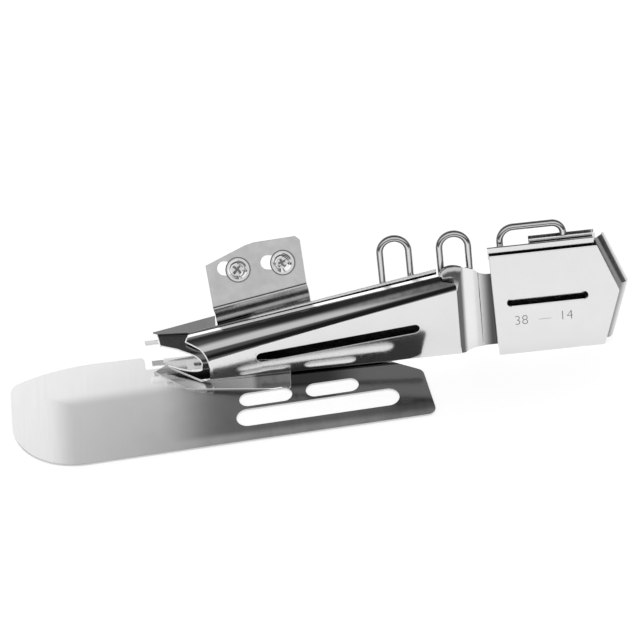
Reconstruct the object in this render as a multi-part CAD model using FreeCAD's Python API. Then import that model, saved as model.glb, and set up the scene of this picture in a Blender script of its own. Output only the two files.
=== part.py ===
import FreeCAD, Part
import math
import os

V = FreeCAD.Vector

# Binder foot for bias tape: real size in millimetres, +Z up.
# The origin lies under the middle of the long slot, on the underside of the base plate.
# X runs along the plate to the tape inlet, Y runs away from the operator.

# Base plate
plate_thickness = 1.0
plate_left = -109.0
plate_front = -11.0
lobe_nose_x = 26.0
lobe_nose_y = 23.0
lobe_back = 37.5
lobe_back_curve = ((31.0, 0.0), (16.5, -1.1), (3.4, -4.5), (1.0, -6.2), (0.0, -8.9))
lobe_right = (-59.7, 36.8)
lobe_right_round = 1.6
notch_x = -59.4
notch_y = 30.4
notch_round = 0.8
plate_right_front = 41.3
plate_right_back = (39.3, 10.6)
right_front_round = 3.0
right_back_round = 3.6
clip_start_x = 7.5
long_slot_length = 58.4
long_slot_width = 8.2
short_slot_length = 19.0
short_slot_width = 6.4
short_slot_pitch = 24.0
short_slot_middle = V(-5.85, 8.6, 0)

# Body frame: S runs along the scroll to the right, T runs away, both turned a little on the plate
body_turn = -3.0
body_origin = V(-36.2, 19.6, 0)

# Sheets
scroll_sheet = 0.6
liner_sheet = 0.5
foot_sheet = 0.5
guide_sheet = 0.8
tab_sheet = 1.0
body_floor = plate_thickness + foot_sheet

# Leaf under the scroll, its outline in S and T
foot_outline = ((-20.4, 7.8), (-9.3, -2.2), (-6.0, -2.9), (27.4, -7.5), (28.2, -6.6), (28.6, 3.0), (24.0, 8.0),
                (-16.0, 11.0))

# Scroll sections: T and Z of the face foot, roll corner and roof back end, at the mouth and at the wide end
mouth_s = 0.0
wide_s = 90.3
mouth_corner = (4.3, 13.9)
mouth_roof_back = 12.8
mouth_roll = 6.0
wide_corner = (5.6, 32.6)
wide_roof_back = 10.4
wide_roll = 4.5
roll_flats = 6
foot_fold = 1.4
scroll_left = -24.0
roof_end_gap = 9.3
roof_edge_inset = 1.5
slit_start = (18.8, 8.9)
slit_end_gap = 16.0
slit_end_z = 14.4
slit_width = 3.4

# Slanted mouth: S and T of the cut edge in the floor, in the face and in the roof, and the heights between them
mouth_floor_edge = ((-16.4, 20.0), (-15.7, 6.0), (-11.4, 3.7), (-7.8, 1.9), (-5.3, 0.7), (-3.2, -0.2))
mouth_face_edge = ((-7.7, 20.0), (-7.7, 7.0), (0.5, 7.0))
mouth_roof_edge = ((-6.9, 20.0), (-7.7, 9.4), (-5.2, 7.8), (-3.2, 6.4), (-1.8, 5.0), (-0.8, 3.8), (0.5, 2.6))
mouth_steps = (3.0, 9.6)
mouth_clear = (-26.0, -6.0)

# Scroll back wall, at the mouth and at the neck: T of its foot, then how far its top is behind and above the roof
wall_start_s = -6.6
wall_end_gap = 6.3
wall_start = (9.1, 1.1, 0.5)
wall_end = (2.5, 3.0, 0.9)
wall_low_start_s = -1.0
wall_low_z = 11.0
wall_root = 3.0

# Liner sections
liner_start_s = -19.0
liner_end_s = 34.0
liner_floor_z = 4.0
liner_foot_t = 1.7
liner_floor_back = 11.1
liner_corner_t = 3.7
liner_roof_z = 11.6
liner_roof_back = 16.6
liner_roll = 2.4
liner_foot_roll = 1.4
liner_floor_edge = ((-17.1, 20.0), (-16.9, 8.6), (-13.9, 6.9), (-11.1, 5.2), (-7.5, 3.7), (-4.3, 2.6), (-3.2, 1.8),
                    (-2.8, 1.2))
liner_face_edge = ((-2.7, 4.0),)
liner_roof_edge = ((-18.9, 16.7), (-17.1, 9.8), (-14.4, 9.2), (-11.9, 8.4), (-9.4, 7.3), (-7.6, 6.4), (-6.2, 5.4),
                   (-4.8, 4.1), (-3.8, 3.2), (-2.7, 2.4))
liner_steps = (5.2, 9.6)

# Narrow leaves at the mouth
upper_finger = (-23.0, 12.2, 14.4)
lower_finger = (-21.4, 8.4, 11.0)
finger_slant = 0.4
finger_end_s = -9.0
rear_blade_z = 13.0
rear_blade_outline = ((-17.3, 15.2), (-7.6, 14.4), (-2.0, 13.0), (3.2, 13.0), (3.2, 21.6), (-6.0, 19.5), (-12.0, 18.1),
                      (-19.6, 16.4))
slab_reach = 12.0

# Leaning guide, shared by the neck, the tape guide and the wire loops: S is counted from the scroll's wide end
guide_lean = 20.0
guide_zero_z = 1.2
guide_front_t = -1.2
guide_left = 12.6
guide_right_top = 50.5
guide_right_bottom = 51.6
guide_point_s = 57.9
guide_point_w = 20.0
guide_corner = 1.2
guide_fold_inset = 1.0
guide_fold_short = 3.0
back_plate_grow = 0.8
guide_bottom = -0.7
guide_top = 39.1
guide_back_top = 38.6
ground_clearance = 0.1
guide_left_slant = 0.9
guide_gap = 2.6
guide_slot = (19.3, 45.1, 19.5)
guide_slot_width = 3.3
neck_n = 3.5
neck_top_start = 28.0
neck_top = ((-5.0, 31.7), (-3.4, 33.1), (-1.3, 33.6), (1.6, 33.1), (4.0, 32.2), (7.4, 30.6), (8.8, 29.3), (10.1, 28.7))
neck_top_rise = 0.9
neck_low = ((7.0, 0.8), (5.1, 0.4), (3.3, -0.2), (1.9, -1.0), (0.9, -1.1), (0.3, -1.1), (0.2, 1.2))
neck_bend_s = 8.1
neck_end_s = 15.7
neck_rounds = (3.0, 2.4)
lip_radius = 3.0
lip_angle = 70.0
lip_overrun = 3.0
channel_start = 27.3
channel_end = 50.7
channel_depth = 4.6
channel_width = 4.0
channel_top = 40.0
channel_sheet = 0.5
channel_round = 1.0

# Wire loops
wire_diameter = 2.0
wire_sides = 12
loop_width = 10.2
loop_tops = (45.3, 45.7)
loop_middles = (-20.5, 0.6)
loop_feet = (22.0, 26.0)
loop_weld_gap = 0.02
wire_clearance = 0.25
large_loop_left = 17.1
large_loop_right = 39.7
large_loop_foot = 28.0
large_loop_top = 44.3
large_loop_bends = (5.0, 4.0)

# Mounting tab
tab_start = (3.3, 23.4)
tab_slope = 11.9
tab_lean = 45.0
tab_width = 35.0
tab_slot_width = 5.0
tab_outline = ((1.3, 15.6), (17.2, 19.1), (20.5, 19.3))
tab_right_outline = ((0.4, 17.7), (1.8, 16.0))
tab_drop = 13.0
tab_bend = 1.2
tab_shoulder = 2.0
tab_slots = (((7.6, 13.0), (13.2, 11.0)), ((tab_width - 11.6, 11.1), (tab_width - 5.6, 9.4)))
screw_places = ((12.6, 11.2), (tab_width - 6.1, 9.6))
screw_radius = 2.0
head_radius = 3.4
head_height = 2.1
head_rim = 0.9
crown_radius = 2.1
screw_length = 8.0
recess_turns = (35.0, 125.0)
recess_length = 3.6
recess_width = 0.9
recess_depth = 1.2
washer_radius = 4.6
washer_hole = 2.15
washer_thickness = 0.6
nut_across_flats = 7.0
nut_thickness = 3.0

# Room that a cut takes beyond the piece
clear = 400.0


def face_of(points):
    return Part.Face(Part.makePolygon(list(points) + [points[0]]))


def prism(outline, z_low, z_high):
    return face_of([V(x, y, z_low) for x, y in outline]).extrude(V(0, 0, z_high - z_low))


def slot_prism(start, end, width, z_low, z_high):
    run = end - start
    length = run.Length
    half = width / 2.0
    side = V(-run.y / length, run.x / length, 0) * half
    along = run / length * half
    a, b, c, d = start + side, end + side, end - side, start - side
    edges = [
        Part.makeLine(a, b),
        Part.Arc(b, end + along, c).toShape(),
        Part.makeLine(c, d),
        Part.Arc(d, start - along, a).toShape(),
    ]
    face = Part.Face(Part.Wire(edges))
    face.translate(V(0, 0, z_low))
    return face.extrude(V(0, 0, z_high - z_low))


def body_place(shape):
    shape = shape.copy()
    shape.rotate(V(0, 0, 0), V(0, 0, 1), body_turn)
    shape.translate(body_origin)
    return shape


# The guide frame has S to the right, W up along the leaning sheet and N away through it
def guide_matrix():
    lean = math.radians(guide_lean)
    up = V(0, math.sin(lean), math.cos(lean))
    back = V(0, math.cos(lean), -math.sin(lean))
    m = FreeCAD.Matrix()
    m.A11, m.A12, m.A13, m.A14 = 1, 0, 0, wide_s
    m.A21, m.A22, m.A23, m.A24 = 0, up.y, -back.y, guide_front_t
    m.A31, m.A32, m.A33, m.A34 = 0, up.z, -back.z, guide_zero_z
    return m


# How much further up the lean a point lies, when it is level with one on the front plate but deeper
def level_rise(depth):
    return depth * math.tan(math.radians(guide_lean))


# A solid drawn with X as S, Y as W and Z towards the operator is stood up in the guide frame
def guide_place(shape, depth=0.0):
    shape = shape.copy()
    shape.translate(V(0, level_rise(depth), 0))
    shape.Placement = FreeCAD.Placement(guide_matrix()).multiply(shape.Placement)
    return body_place(shape)


# Round the corners of an open path and return its edges in the plane of one station
def path_edges(points, radii, to_space):
    edges = []
    last = points[0]
    for i in range(1, len(points) - 1):
        p0, p1, p2 = points[i - 1], points[i], points[i + 1]
        d1 = (p1 - p0).normalize()
        d2 = (p2 - p1).normalize()
        if radii[i] == 0:
            edges.append(Part.makeLine(to_space(last), to_space(p1)))
            last = p1
            continue
        turn = math.acos(max(-1.0, min(1.0, d1.dot(d2))))
        cut = radii[i] * math.tan(turn / 2.0)
        t1 = p1 - d1 * cut
        t2 = p1 + d2 * cut
        inward = (d2 - d1).normalize()
        middle = p1 + inward * (radii[i] / math.cos(turn / 2.0) - radii[i])
        if last.distanceToPoint(t1) > 1e-6:
            edges.append(Part.makeLine(to_space(last), to_space(t1)))
        edges.append(Part.Arc(to_space(t1), to_space(middle), to_space(t2)).toShape())
        last = t2
    edges.append(Part.makeLine(to_space(last), to_space(points[-1])))
    return edges


# Move an open path sideways by one sheet thickness, to its left
def offset_path(points, distance):
    lines = []
    for p, q in zip(points[:-1], points[1:]):
        d = (q - p).normalize()
        side = V(-d.y, d.x, 0) * distance
        lines.append((p + side, d))
    moved = [lines[0][0]]
    for (p, d), (q, e) in zip(lines[:-1], lines[1:]):
        cross = d.x * e.y - d.y * e.x
        k = ((q.x - p.x) * e.y - (q.y - p.y) * e.x) / cross
        moved.append(p + d * k)
    end = points[-1] - points[-2]
    moved.append(lines[-1][0] + end)
    return moved


# Closed section of a bent sheet at one station, the path giving T and Z of its outer side
def sheet_section(s, path, radii, thickness):
    points = [V(a, b, 0) for a, b in path]
    inner = offset_path(points, thickness)
    inner_radii = [max(r - thickness, 0.2) if r > 0 else 0 for r in radii]

    def to_space(p):
        return V(s, p.x, p.y)

    outer_edges = path_edges(points, radii, to_space)
    inner_edges = path_edges(inner[::-1], inner_radii[::-1], to_space)
    cap = [Part.makeLine(to_space(points[-1]), to_space(inner[-1]))]
    base = [Part.makeLine(to_space(inner[0]), to_space(points[0]))]
    return Part.Wire(Part.__sortEdges__(outer_edges + cap + inner_edges + base))


def blend(a, b, s):
    k = (s - mouth_s) / (wide_s - mouth_s)
    return a + (b - a) * k


# Outer side of the scroll section: floor back end, face foot, roll corner, roof back end
def wall_line(s):
    k = (s - wall_start_s) / (wide_s - wall_end_gap - wall_start_s)
    foot, behind, above = [a + (b - a) * k for a, b in zip(wall_start, wall_end)]
    return foot, blend(mouth_roof_back, wide_roof_back, s) + behind, blend(mouth_corner[1], wide_corner[1], s) + above


# The roll at the top and the fold at the foot of the face are made in flats
def scroll_path(s):
    corner = V(blend(mouth_corner[0], wide_corner[0], s), blend(mouth_corner[1], wide_corner[1], s), 0)
    roof = V(blend(mouth_roof_back, wide_roof_back, s), corner.y, 0)
    foot = V(0, body_floor, 0)
    down = (foot - corner).normalize()
    turn = math.acos(-down.x)
    radius = blend(mouth_roll, wide_roll, s)
    reach = radius * math.tan(turn / 2.0)
    centre = corner + V(reach, -radius, 0)
    roll = []
    for i in range(roll_flats + 1):
        angle = math.pi / 2.0 + turn * i / roll_flats
        roll.append((centre.x + radius * math.cos(angle), centre.y + radius * math.sin(angle)))
    lean = (corner.x - foot.x) / (corner.y - foot.y)
    folds = [(lean * foot_fold, body_floor + foot_fold), (0.4 * foot_fold, body_floor + 0.2 * foot_fold)]
    folds.append((foot_fold, body_floor))
    return [(roof.x, roof.y)] + roll + folds + [(wall_line(s)[0], body_floor)]


def face_t(s, z):
    corner_t = blend(mouth_corner[0], wide_corner[0], s)
    corner_z = blend(mouth_corner[1], wide_corner[1], s)
    return corner_t * (z - body_floor) / (corner_z - body_floor)


def short_slot(side):
    reach = V((short_slot_length - short_slot_width) / 2.0, 0, 0)
    middle = short_slot_middle + V(side * short_slot_pitch, 0, 0)
    return slot_prism(middle - reach, middle + reach, short_slot_width, -1, plate_thickness + 1)


def make_base_plate():
    nose_centre = V(plate_left + lobe_nose_x, plate_front + lobe_nose_y, 0)
    nose = Part.Ellipse(nose_centre, lobe_nose_x, lobe_nose_y)
    nose_edge = nose.toShape(math.pi, 1.5 * math.pi)
    back = [V(plate_left + x, lobe_back + y, 0) for x, y in lobe_back_curve]
    corners = [
        V(nose_centre.x, plate_front, 0),
        V(plate_right_front, plate_front, 0),
        V(*plate_right_back, 0),
        V(clip_start_x, notch_y, 0),
        V(notch_x, notch_y, 0),
        V(*lobe_right, 0),
        back[0],
    ]
    rounds = [0, right_front_round, right_back_round, 0, notch_round, lobe_right_round, 0]
    edges = [nose_edge] + path_edges(corners, rounds, V)
    edges.append(Part.Arc(back[0], back[1], back[2]).toShape())
    edges.append(Part.Arc(back[2], back[3], back[4]).toShape())
    edges.append(Part.makeLine(back[4], V(plate_left, nose_centre.y, 0)))
    face = Part.Face(Part.Wire(Part.__sortEdges__(edges)))
    plate = face.extrude(V(0, 0, plate_thickness))
    reach = V((long_slot_length - long_slot_width) / 2.0, 0, 0)
    long_slot = slot_prism(reach * -1, reach, long_slot_width, -1, plate_thickness + 1)
    return plate.cut([long_slot, short_slot(-0.5), short_slot(0.5)])


def make_scroll_foot():
    leaf = body_place(prism(foot_outline, plate_thickness, body_floor))
    return leaf.cut([short_slot(-0.5), short_slot(0.5)])


# Everything to the left of a mouth edge, between two heights
def mouth_cut(edge, z_low, z_high):
    left, near = mouth_clear
    outline = [(left, edge[0][1])] + list(edge) + [(edge[-1][0], near), (left, near)]
    return prism(outline, z_low, z_high)


def make_outer_scroll():
    sections = []
    for s in (scroll_left, wide_s):
        path = scroll_path(s)
        sections.append(sheet_section(s, path, [0] * len(path), scroll_sheet))
    shell = Part.makeLoft(sections, True, True)
    # The mouth is cut back on a slant, each height by its own line
    low = mouth_cut(mouth_floor_edge, 0, mouth_steps[0])
    middle = mouth_cut(mouth_face_edge, mouth_steps[0], mouth_steps[1])
    high = mouth_cut(mouth_roof_edge, mouth_steps[1], wide_corner[1])
    # The roof stops short of the wide end, where the tape comes in behind the face
    roof_t = face_t(wide_s, wide_corner[1]) + roof_edge_inset
    notch = Part.makeBox(clear, clear, clear, V(wide_s - roof_end_gap, roof_t, mouth_corner[1]))
    start = V(slit_start[0], slit_start[1], 0)
    end = V(wide_s - slit_end_gap, slit_end_z, 0)
    slit = slot_prism(start, end, slit_width, -clear, 0)
    slit.rotate(V(0, 0, 0), V(1, 0, 0), 90)
    slit.translate(V(0, -clear + face_t(wide_s, wide_corner[1]) + wide_roll, 0))
    behind = wall_slab(0.0, slab_reach)
    return body_place(shell.cut([low, middle, high, notch, slit, behind]))


# Slab between the scroll wall's own sides, grown to the front or to the back
def wall_slab(front, back):
    sections = []
    for s in (wall_start_s, wide_s - wall_end_gap):
        foot, top, height = wall_line(s)
        run = V(top - foot, height - body_floor, 0).normalize()
        side = V(run.y, -run.x, 0)
        low = V(foot, body_floor, 0) - run * wall_root
        high = V(top, height, 0)
        corners = [low + side * front, high + side * front, high + side * back, low + side * back]
        sections.append(Part.makePolygon([V(s, p.x, p.y) for p in corners + [corners[0]]]))
    return Part.makeLoft(sections, True, True)


def make_scroll_wall():
    under = Part.makeBox(clear, clear, clear, V(-clear / 2.0, -clear / 2.0, body_floor - clear))
    mouth = Part.makeBox(clear, clear, clear, V(wall_low_start_s - clear, -clear / 2.0, wall_low_z - clear))
    return body_place(wall_slab(0.0, scroll_sheet).cut([under, mouth]))


def make_scroll_liner():
    path = [(liner_roof_back, liner_roof_z), (liner_corner_t, liner_roof_z), (liner_foot_t, liner_floor_z),
            (liner_floor_back, liner_floor_z)]
    radii = [0, liner_roll, liner_foot_roll, 0]
    sections = [sheet_section(s, path, radii, liner_sheet) for s in (liner_start_s, liner_end_s)]
    shell = Part.makeLoft(sections, True, True)
    low = mouth_cut(liner_floor_edge, 0, liner_steps[0])
    middle = mouth_cut(liner_face_edge, liner_steps[0], liner_steps[1])
    high = mouth_cut(liner_roof_edge, liner_steps[1], mouth_corner[1])
    behind = wall_slab(0.0, slab_reach)
    return body_place(shell.cut([low, middle, high, behind]))


def finger(ends, z_low):
    left, near, far = ends
    outline = [(left + finger_slant, near), (left, far), (finger_end_s, far), (finger_end_s, near)]
    return body_place(prism(outline, z_low, z_low + liner_sheet))


def make_upper_blade():
    return finger(upper_finger, liner_roof_z - 2 * liner_sheet)


def make_lower_blade():
    return finger(lower_finger, liner_floor_z - liner_sheet)


def make_rear_blade():
    blade = prism(rear_blade_outline, rear_blade_z - scroll_sheet, rear_blade_z)
    return body_place(blade.cut(wall_slab(-slab_reach, scroll_sheet)))


# A flat guide piece is drawn by its outline in S and W and its depth range in N
def guide_prism(outline, n_near, n_far):
    return prism(outline, -n_far, -n_near)


# Nothing of the overhanging guide reaches below the plate's underside
def above_ground(shape):
    return shape.cut(Part.makeBox(clear, clear, clear, V(-clear / 2.0, -clear / 2.0, ground_clearance - clear)))


# Face between a bent sheet's two sides, drawn in one plane
def bent_strip(points, thickness, outer_radii, inner_radii, to_space):
    inner = offset_path(points, thickness)
    edges = path_edges(points, outer_radii, to_space) + path_edges(inner[::-1], inner_radii[::-1], to_space)
    edges.append(Part.makeLine(to_space(points[-1]), to_space(inner[-1])))
    edges.append(Part.makeLine(to_space(inner[0]), to_space(points[0])))
    return Part.Face(Part.Wire(Part.__sortEdges__(edges)))


def make_neck():
    left = -wall_end_gap
    top = [(left, neck_top_start)] + list(neck_top) + [(neck_end_s, neck_top[-1][1] + neck_top_rise)]
    spline = Part.BSplineCurve()
    spline.interpolate([V(a, b, 0) for a, b in top])
    low = [(neck_end_s, neck_low[0][1])] + list(neck_low) + [(left, neck_low[-1][1])]
    chain = Part.makePolygon([V(a, b, 0) for a, b in [top[-1]] + low + [top[0]]])
    outline = Part.Face(Part.Wire(Part.__sortEdges__([spline.toShape()] + chain.Edges)))
    outline.translate(V(0, 0, -clear / 2.0))
    block = outline.extrude(V(0, 0, clear))
    # Seen from above the sheet bends back in front of the guide and is welded behind its back plate
    step = guide_sheet + guide_gap + scroll_sheet - neck_n
    points = [
        V(left, neck_n, 0),
        V(neck_bend_s, neck_n, 0),
        V(neck_bend_s + 1.5 * step, neck_n + step, 0),
        V(neck_end_s, neck_n + step, 0),
    ]
    rounds = [0] + list(neck_rounds) + [0]

    def to_space(p):
        return V(p.x, -clear / 2.0, -p.y)

    sheet = bent_strip(points, scroll_sheet, rounds, rounds, to_space).extrude(V(0, clear, 0))
    return above_ground(guide_place(sheet.common(block), neck_n))


def guide_outline(grow, top):
    return [
        (guide_left + guide_left_slant, guide_bottom),
        (guide_right_bottom + grow, guide_bottom),
        (guide_point_s + grow, guide_point_w),
        (guide_right_top + grow, top),
        (guide_left, top),
    ]


def make_guide_front():
    plate = guide_prism(guide_outline(0.0, guide_top), 0.0, guide_sheet)
    edges = [e for e in plate.Edges if abs(e.tangentAt(e.FirstParameter).z) > 0.9]
    right = [e for e in edges if e.Vertexes[0].X > guide_left + 1]
    plate = plate.makeFillet(guide_corner, right)
    slot_start, slot_end, slot_w = guide_slot
    cut = slot_prism(V(slot_start, slot_w, 0), V(slot_end, slot_w, 0), guide_slot_width, -clear, clear)
    # The lower edge is folded back under the tape
    rise = level_rise(guide_gap)
    near, far = guide_sheet, guide_sheet + guide_gap
    start = guide_left + guide_fold_inset
    fold = face_of([
        V(start, guide_bottom, -near),
        V(start, guide_bottom + guide_sheet, -near),
        V(start, guide_bottom + guide_sheet + rise, -far),
        V(start, guide_bottom + rise, -far),
    ]).extrude(V(guide_right_bottom - guide_fold_short - start, 0, 0))
    return guide_place(plate.cut(cut).fuse(fold).removeSplitter())


# Curved lip along one slanted side of the back sheet, from one outline corner to another
def lip(start, end, n_front):
    run = (end - start).normalize()
    outward = V(run.y, -run.x, 0)
    sweep = math.radians(lip_angle)

    def at(radius, angle):
        return start + outward * (radius * math.sin(angle)) + V(0, 0, -n_front - lip_radius + radius * math.cos(angle))

    outer, inner = lip_radius, lip_radius - scroll_sheet
    edges = [
        Part.Arc(at(outer, 0), at(outer, sweep / 2.0), at(outer, sweep)).toShape(),
        Part.makeLine(at(outer, sweep), at(inner, sweep)),
        Part.Arc(at(inner, sweep), at(inner, sweep / 2.0), at(inner, 0)).toShape(),
        Part.makeLine(at(inner, 0), at(outer, 0)),
    ]
    return Part.Face(Part.Wire(edges)).extrude(end - start)


def make_guide_back():
    near = guide_sheet + guide_gap
    outline = guide_outline(back_plate_grow, guide_back_top)
    plate = guide_prism(outline, near, near + scroll_sheet)
    low, point, high = [V(a, b, 0) for a, b in outline[1:4]]
    lower = lip(low, point + (point - low).normalize() * lip_overrun, near)
    upper = lip(point + (point - high).normalize() * lip_overrun, high, near)
    # The two lips meet on a mitre at the point
    half = V(-clear / 2.0, -clear / 2.0, 0)
    keep_high = Part.makeBox(clear, clear, clear, V(half.x, point.y, half.x))
    keep_low = Part.makeBox(clear, clear, clear, V(half.x, point.y - clear, half.x))
    lips = [lower.common(keep_low), upper.common(keep_high)]
    return above_ground(guide_place(plate.fuse(lips).removeSplitter(), near))


def make_top_channel():
    near = guide_sheet + guide_gap + scroll_sheet
    far = near + channel_width
    floor = channel_top - channel_depth
    points = [V(near, channel_top, 0), V(near, floor, 0), V(far, floor, 0), V(far, channel_top, 0)]
    inner_round = channel_round - channel_sheet

    def to_space(p):
        return V(channel_start, p.y, -p.x)

    rounds = [0, channel_round, channel_round, 0]
    face = bent_strip(points, channel_sheet, rounds, [0, inner_round, inner_round, 0], to_space)
    return guide_place(face.extrude(V(channel_end - channel_start, 0, 0)), near)


# Wire along straight and rounded runs in the guide plane, each run extruded or turned from the wire's section
def wire_loop(points, radii, n_centre):
    def to_space(p):
        return V(p.x, p.y, -n_centre)

    out = V(0, 0, wire_diameter / 2.0)
    runs = []
    for edge in path_edges([V(a, b, 0) for a, b in points], radii, to_space):
        start = edge.valueAt(edge.FirstParameter)
        along = edge.tangentAt(edge.FirstParameter)
        ring = []
        for i in range(wire_sides):
            ring.append(start + FreeCAD.Rotation(along, 360.0 * i / wire_sides).multVec(out))
        section = face_of(ring)
        if edge.Curve.TypeId == "Part::GeomLine":
            runs.append(section.extrude(edge.valueAt(edge.LastParameter) - start))
        else:
            turn = math.degrees(edge.LastParameter - edge.FirstParameter)
            runs.append(section.revolve(edge.Curve.Center, edge.Curve.Axis, turn))
    return guide_place(runs[0].fuse(runs[1:]).removeSplitter(), n_centre)


# The left loop is welded to the scroll's back wall at its left leg, the middle one to the neck
def loop_depth(index, left_leg):
    if index == 1:
        return neck_n + scroll_sheet
    lean = math.radians(guide_lean)
    foot, top, height = wall_line(wide_s + left_leg)
    back = (top - guide_front_t) * math.cos(lean) - (height - guide_zero_z) * math.sin(lean)
    return back + scroll_sheet + loop_weld_gap


def make_small_loop(index):
    middle = loop_middles[index]
    half = loop_width / 2.0
    foot = loop_feet[index]
    top = loop_tops[index] - wire_diameter / 2.0
    points = [(middle - half, foot), (middle - half, top), (middle + half, top), (middle + half, foot)]
    depth = loop_depth(index, middle - half)
    return wire_loop(points, [0, half, half, 0], depth + wire_diameter / 2.0)


def make_large_loop():
    half = wire_diameter / 2.0
    seat = guide_sheet + guide_gap + scroll_sheet
    floor = channel_top - channel_depth + channel_sheet - level_rise(scroll_sheet + wire_clearance + half)
    points = [
        (large_loop_left, large_loop_foot),
        (large_loop_left, large_loop_top),
        (large_loop_right, large_loop_top),
        (large_loop_right, floor),
    ]
    return wire_loop(points, [0] + list(large_loop_bends) + [0], seat + scroll_sheet + wire_clearance + half)


# The tab frame starts at the left end of the bend, X along it, Y up the upper leaf, Z out of its front
def tab_matrix():
    foot, top, height = wall_line(tab_start[0])
    length = math.hypot(top - foot, height - body_floor)
    flange_t = top + scroll_sheet * (height - body_floor) / length
    slope = math.radians(tab_slope)
    lean = math.radians(tab_lean)
    along = V(math.cos(slope), 0, math.sin(slope))
    rise = V(-math.sin(slope), 0, math.cos(slope))
    up = rise * math.cos(lean) + V(0, 1, 0) * math.sin(lean)
    out = along.cross(up)
    m = FreeCAD.Matrix()
    m.A11, m.A12, m.A13, m.A14 = along.x, up.x, out.x, tab_start[0]
    m.A21, m.A22, m.A23, m.A24 = along.y, up.y, out.y, flange_t
    m.A31, m.A32, m.A33, m.A34 = along.z, up.z, out.z, tab_start[1]
    return m


def tab_place(shape):
    shape = shape.copy()
    shape.Placement = FreeCAD.Placement(tab_matrix()).multiply(shape.Placement)
    return body_place(shape)


def make_tab():
    lean = math.radians(tab_lean)
    slope = math.tan(math.radians(tab_slope))
    tip = max(y for x, y in tab_outline) + tab_shoulder
    # The path runs up the flange, round the bend and up the upper leaf, seen along the bend
    points = [V(-tab_drop * math.sin(lean), -tab_drop * math.cos(lean), 0), V(0, 0, 0), V(0, tip, 0)]
    skirt_depth = tab_drop + tab_shoulder
    reach = skirt_depth * slope + tab_shoulder

    def to_space(p):
        return V(-reach, p.y, p.x)

    face = bent_strip(points, tab_sheet, [0, tab_bend + tab_sheet, 0], [0, tab_bend, 0], to_space)
    bar = face.extrude(V(tab_width + 2 * reach, 0, 0))
    right = [(tab_width + x, y) for x, y in tab_right_outline]
    upper = [(0.0, -tab_shoulder)] + list(tab_outline) + right + [(tab_width, -tab_shoulder)]
    lower = [
        (0.0, -tab_shoulder),
        (-skirt_depth * slope, -skirt_depth),
        (tab_width - skirt_depth * slope, -skirt_depth),
        (tab_width, -tab_shoulder),
    ]
    keep = prism(upper, -clear, clear).fuse(prism(lower, -clear, clear))
    cuts = [slot_prism(V(*a, 0), V(*b, 0), tab_slot_width, -clear, clear) for a, b in tab_slots]
    return bar.common(keep).cut(cuts)


def make_screw(place):
    x, y = place
    base = washer_thickness
    shank = Part.makeCylinder(screw_radius, screw_length, V(x, y, base - screw_length), V(0, 0, 1))
    drum = Part.makeCylinder(head_radius, head_rim, V(x, y, base), V(0, 0, 1))
    crown = Part.makeCone(head_radius, crown_radius, head_height - head_rim, V(x, y, base + head_rim), V(0, 0, 1))
    bars = []
    for angle in recess_turns:
        bar = Part.makeBox(recess_length, recess_width, recess_depth)
        bar.translate(V(x - recess_length / 2.0, y - recess_width / 2.0, base + head_height - recess_depth))
        bar.rotate(V(x, y, 0), V(0, 0, 1), angle)
        bars.append(bar)
    return shank.fuse([drum, crown]).cut(bars)


def make_washer(place):
    x, y = place
    ring = Part.makeCylinder(washer_radius, washer_thickness, V(x, y, 0), V(0, 0, 1))
    hole = Part.makeCylinder(washer_hole, 2 * clear, V(x, y, -clear), V(0, 0, 1))
    return ring.cut(hole)


def make_nut(place):
    x, y = place
    radius = nut_across_flats / math.sqrt(3.0)
    corners = []
    for i in range(6):
        a = math.radians(60.0 * i)
        corners.append((x + radius * math.cos(a), y + radius * math.sin(a)))
    low = -tab_sheet - nut_thickness
    block = prism(corners, low, -tab_sheet)
    hole = Part.makeCylinder(screw_radius, 2 * clear, V(x, y, -clear), V(0, 0, 1))
    return block.cut(hole)


def build():
    parts = {
        "base_plate": make_base_plate(),
        "scroll_foot": make_scroll_foot(),
        "outer_scroll": make_outer_scroll(),
        "scroll_liner": make_scroll_liner(),
        "upper_blade": make_upper_blade(),
        "lower_blade": make_lower_blade(),
        "rear_blade": make_rear_blade(),
        "scroll_wall": make_scroll_wall(),
        "neck_sheet": make_neck(),
        "guide_front": make_guide_front(),
        "guide_back": make_guide_back(),
        "top_channel": make_top_channel(),
        "wire_loop_left": make_small_loop(0),
        "wire_loop_middle": make_small_loop(1),
        "wire_loop_large": make_large_loop(),
        "mounting_tab": tab_place(make_tab()),
    }
    for i, place in enumerate(screw_places):
        parts["tab_screw_%d" % (i + 1)] = tab_place(make_screw(place))
        parts["tab_washer_%d" % (i + 1)] = tab_place(make_washer(place))
        parts["tab_nut_%d" % (i + 1)] = tab_place(make_nut(place))
    return parts


os.makedirs("parts", exist_ok=True)
for name, shape in build().items():
    shape.exportStep("parts/%s.step" % name)
    box = shape.BoundBox
    print(name, shape.isValid(), len(shape.Solids), "volume %.1f" % shape.Volume,
          "x %.1f %.1f y %.1f %.1f z %.1f %.1f" % (box.XMin, box.XMax, box.YMin, box.YMax, box.ZMin, box.ZMax))
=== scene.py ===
import math

import bmesh
import bpy
from mathutils import Matrix, Vector


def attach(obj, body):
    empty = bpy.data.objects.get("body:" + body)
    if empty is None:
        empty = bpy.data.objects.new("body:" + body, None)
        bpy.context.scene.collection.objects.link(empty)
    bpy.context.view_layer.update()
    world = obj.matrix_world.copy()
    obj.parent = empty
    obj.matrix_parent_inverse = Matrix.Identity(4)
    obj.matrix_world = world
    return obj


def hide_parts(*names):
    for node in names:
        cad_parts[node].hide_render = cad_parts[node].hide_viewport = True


MM = 0.001

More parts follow.
